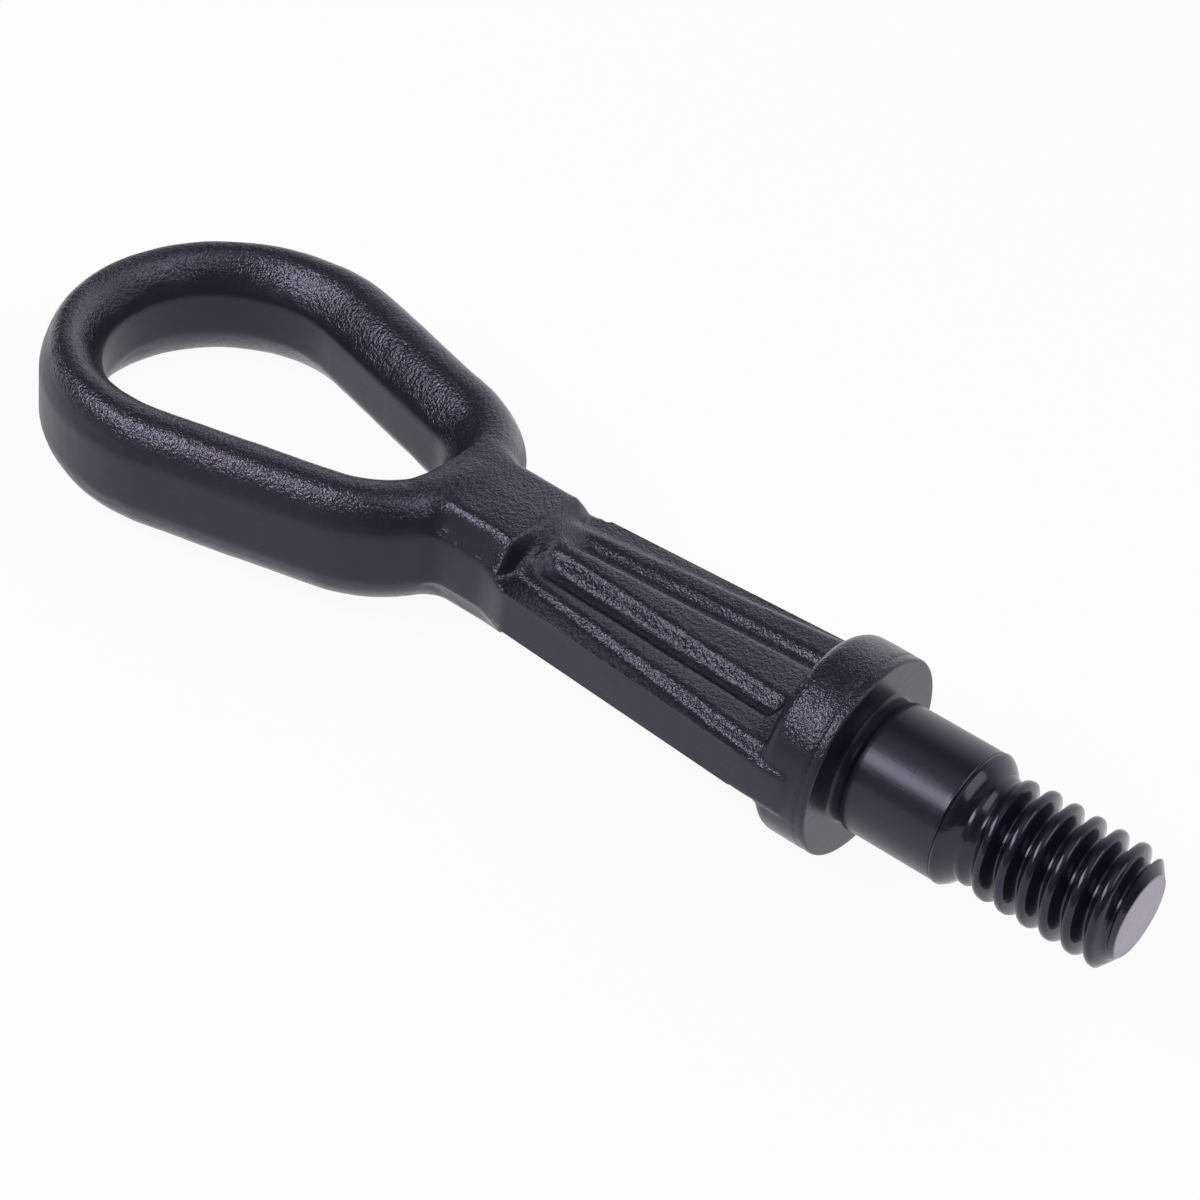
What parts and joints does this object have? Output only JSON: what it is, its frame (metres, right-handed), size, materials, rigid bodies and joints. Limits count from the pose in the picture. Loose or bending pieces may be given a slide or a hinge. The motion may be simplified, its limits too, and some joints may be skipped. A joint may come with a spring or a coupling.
{
  "type": "tow eye",
  "caption": "Screw-in vehicle tow eye: a forged teardrop ring on a fluted tapering shank, with a collar, a plain shoulder pin and a short coarse right-hand thread.",
  "frame": {"origin": "centre of the collar's seat face, on the shank's axis", "axes": "+X along the shank's axis towards the threaded tip; the ring lies in the XY plane, +Z square to it"},
  "size_m": [0.1942, 0.0604, 0.031],
  "materials": {
    "black_coat": "satin black coat over forged and machined steel"
  },
  "bodies": {
    "root": {"tow_eye": "black_coat"}
  },
  "joints": []
}
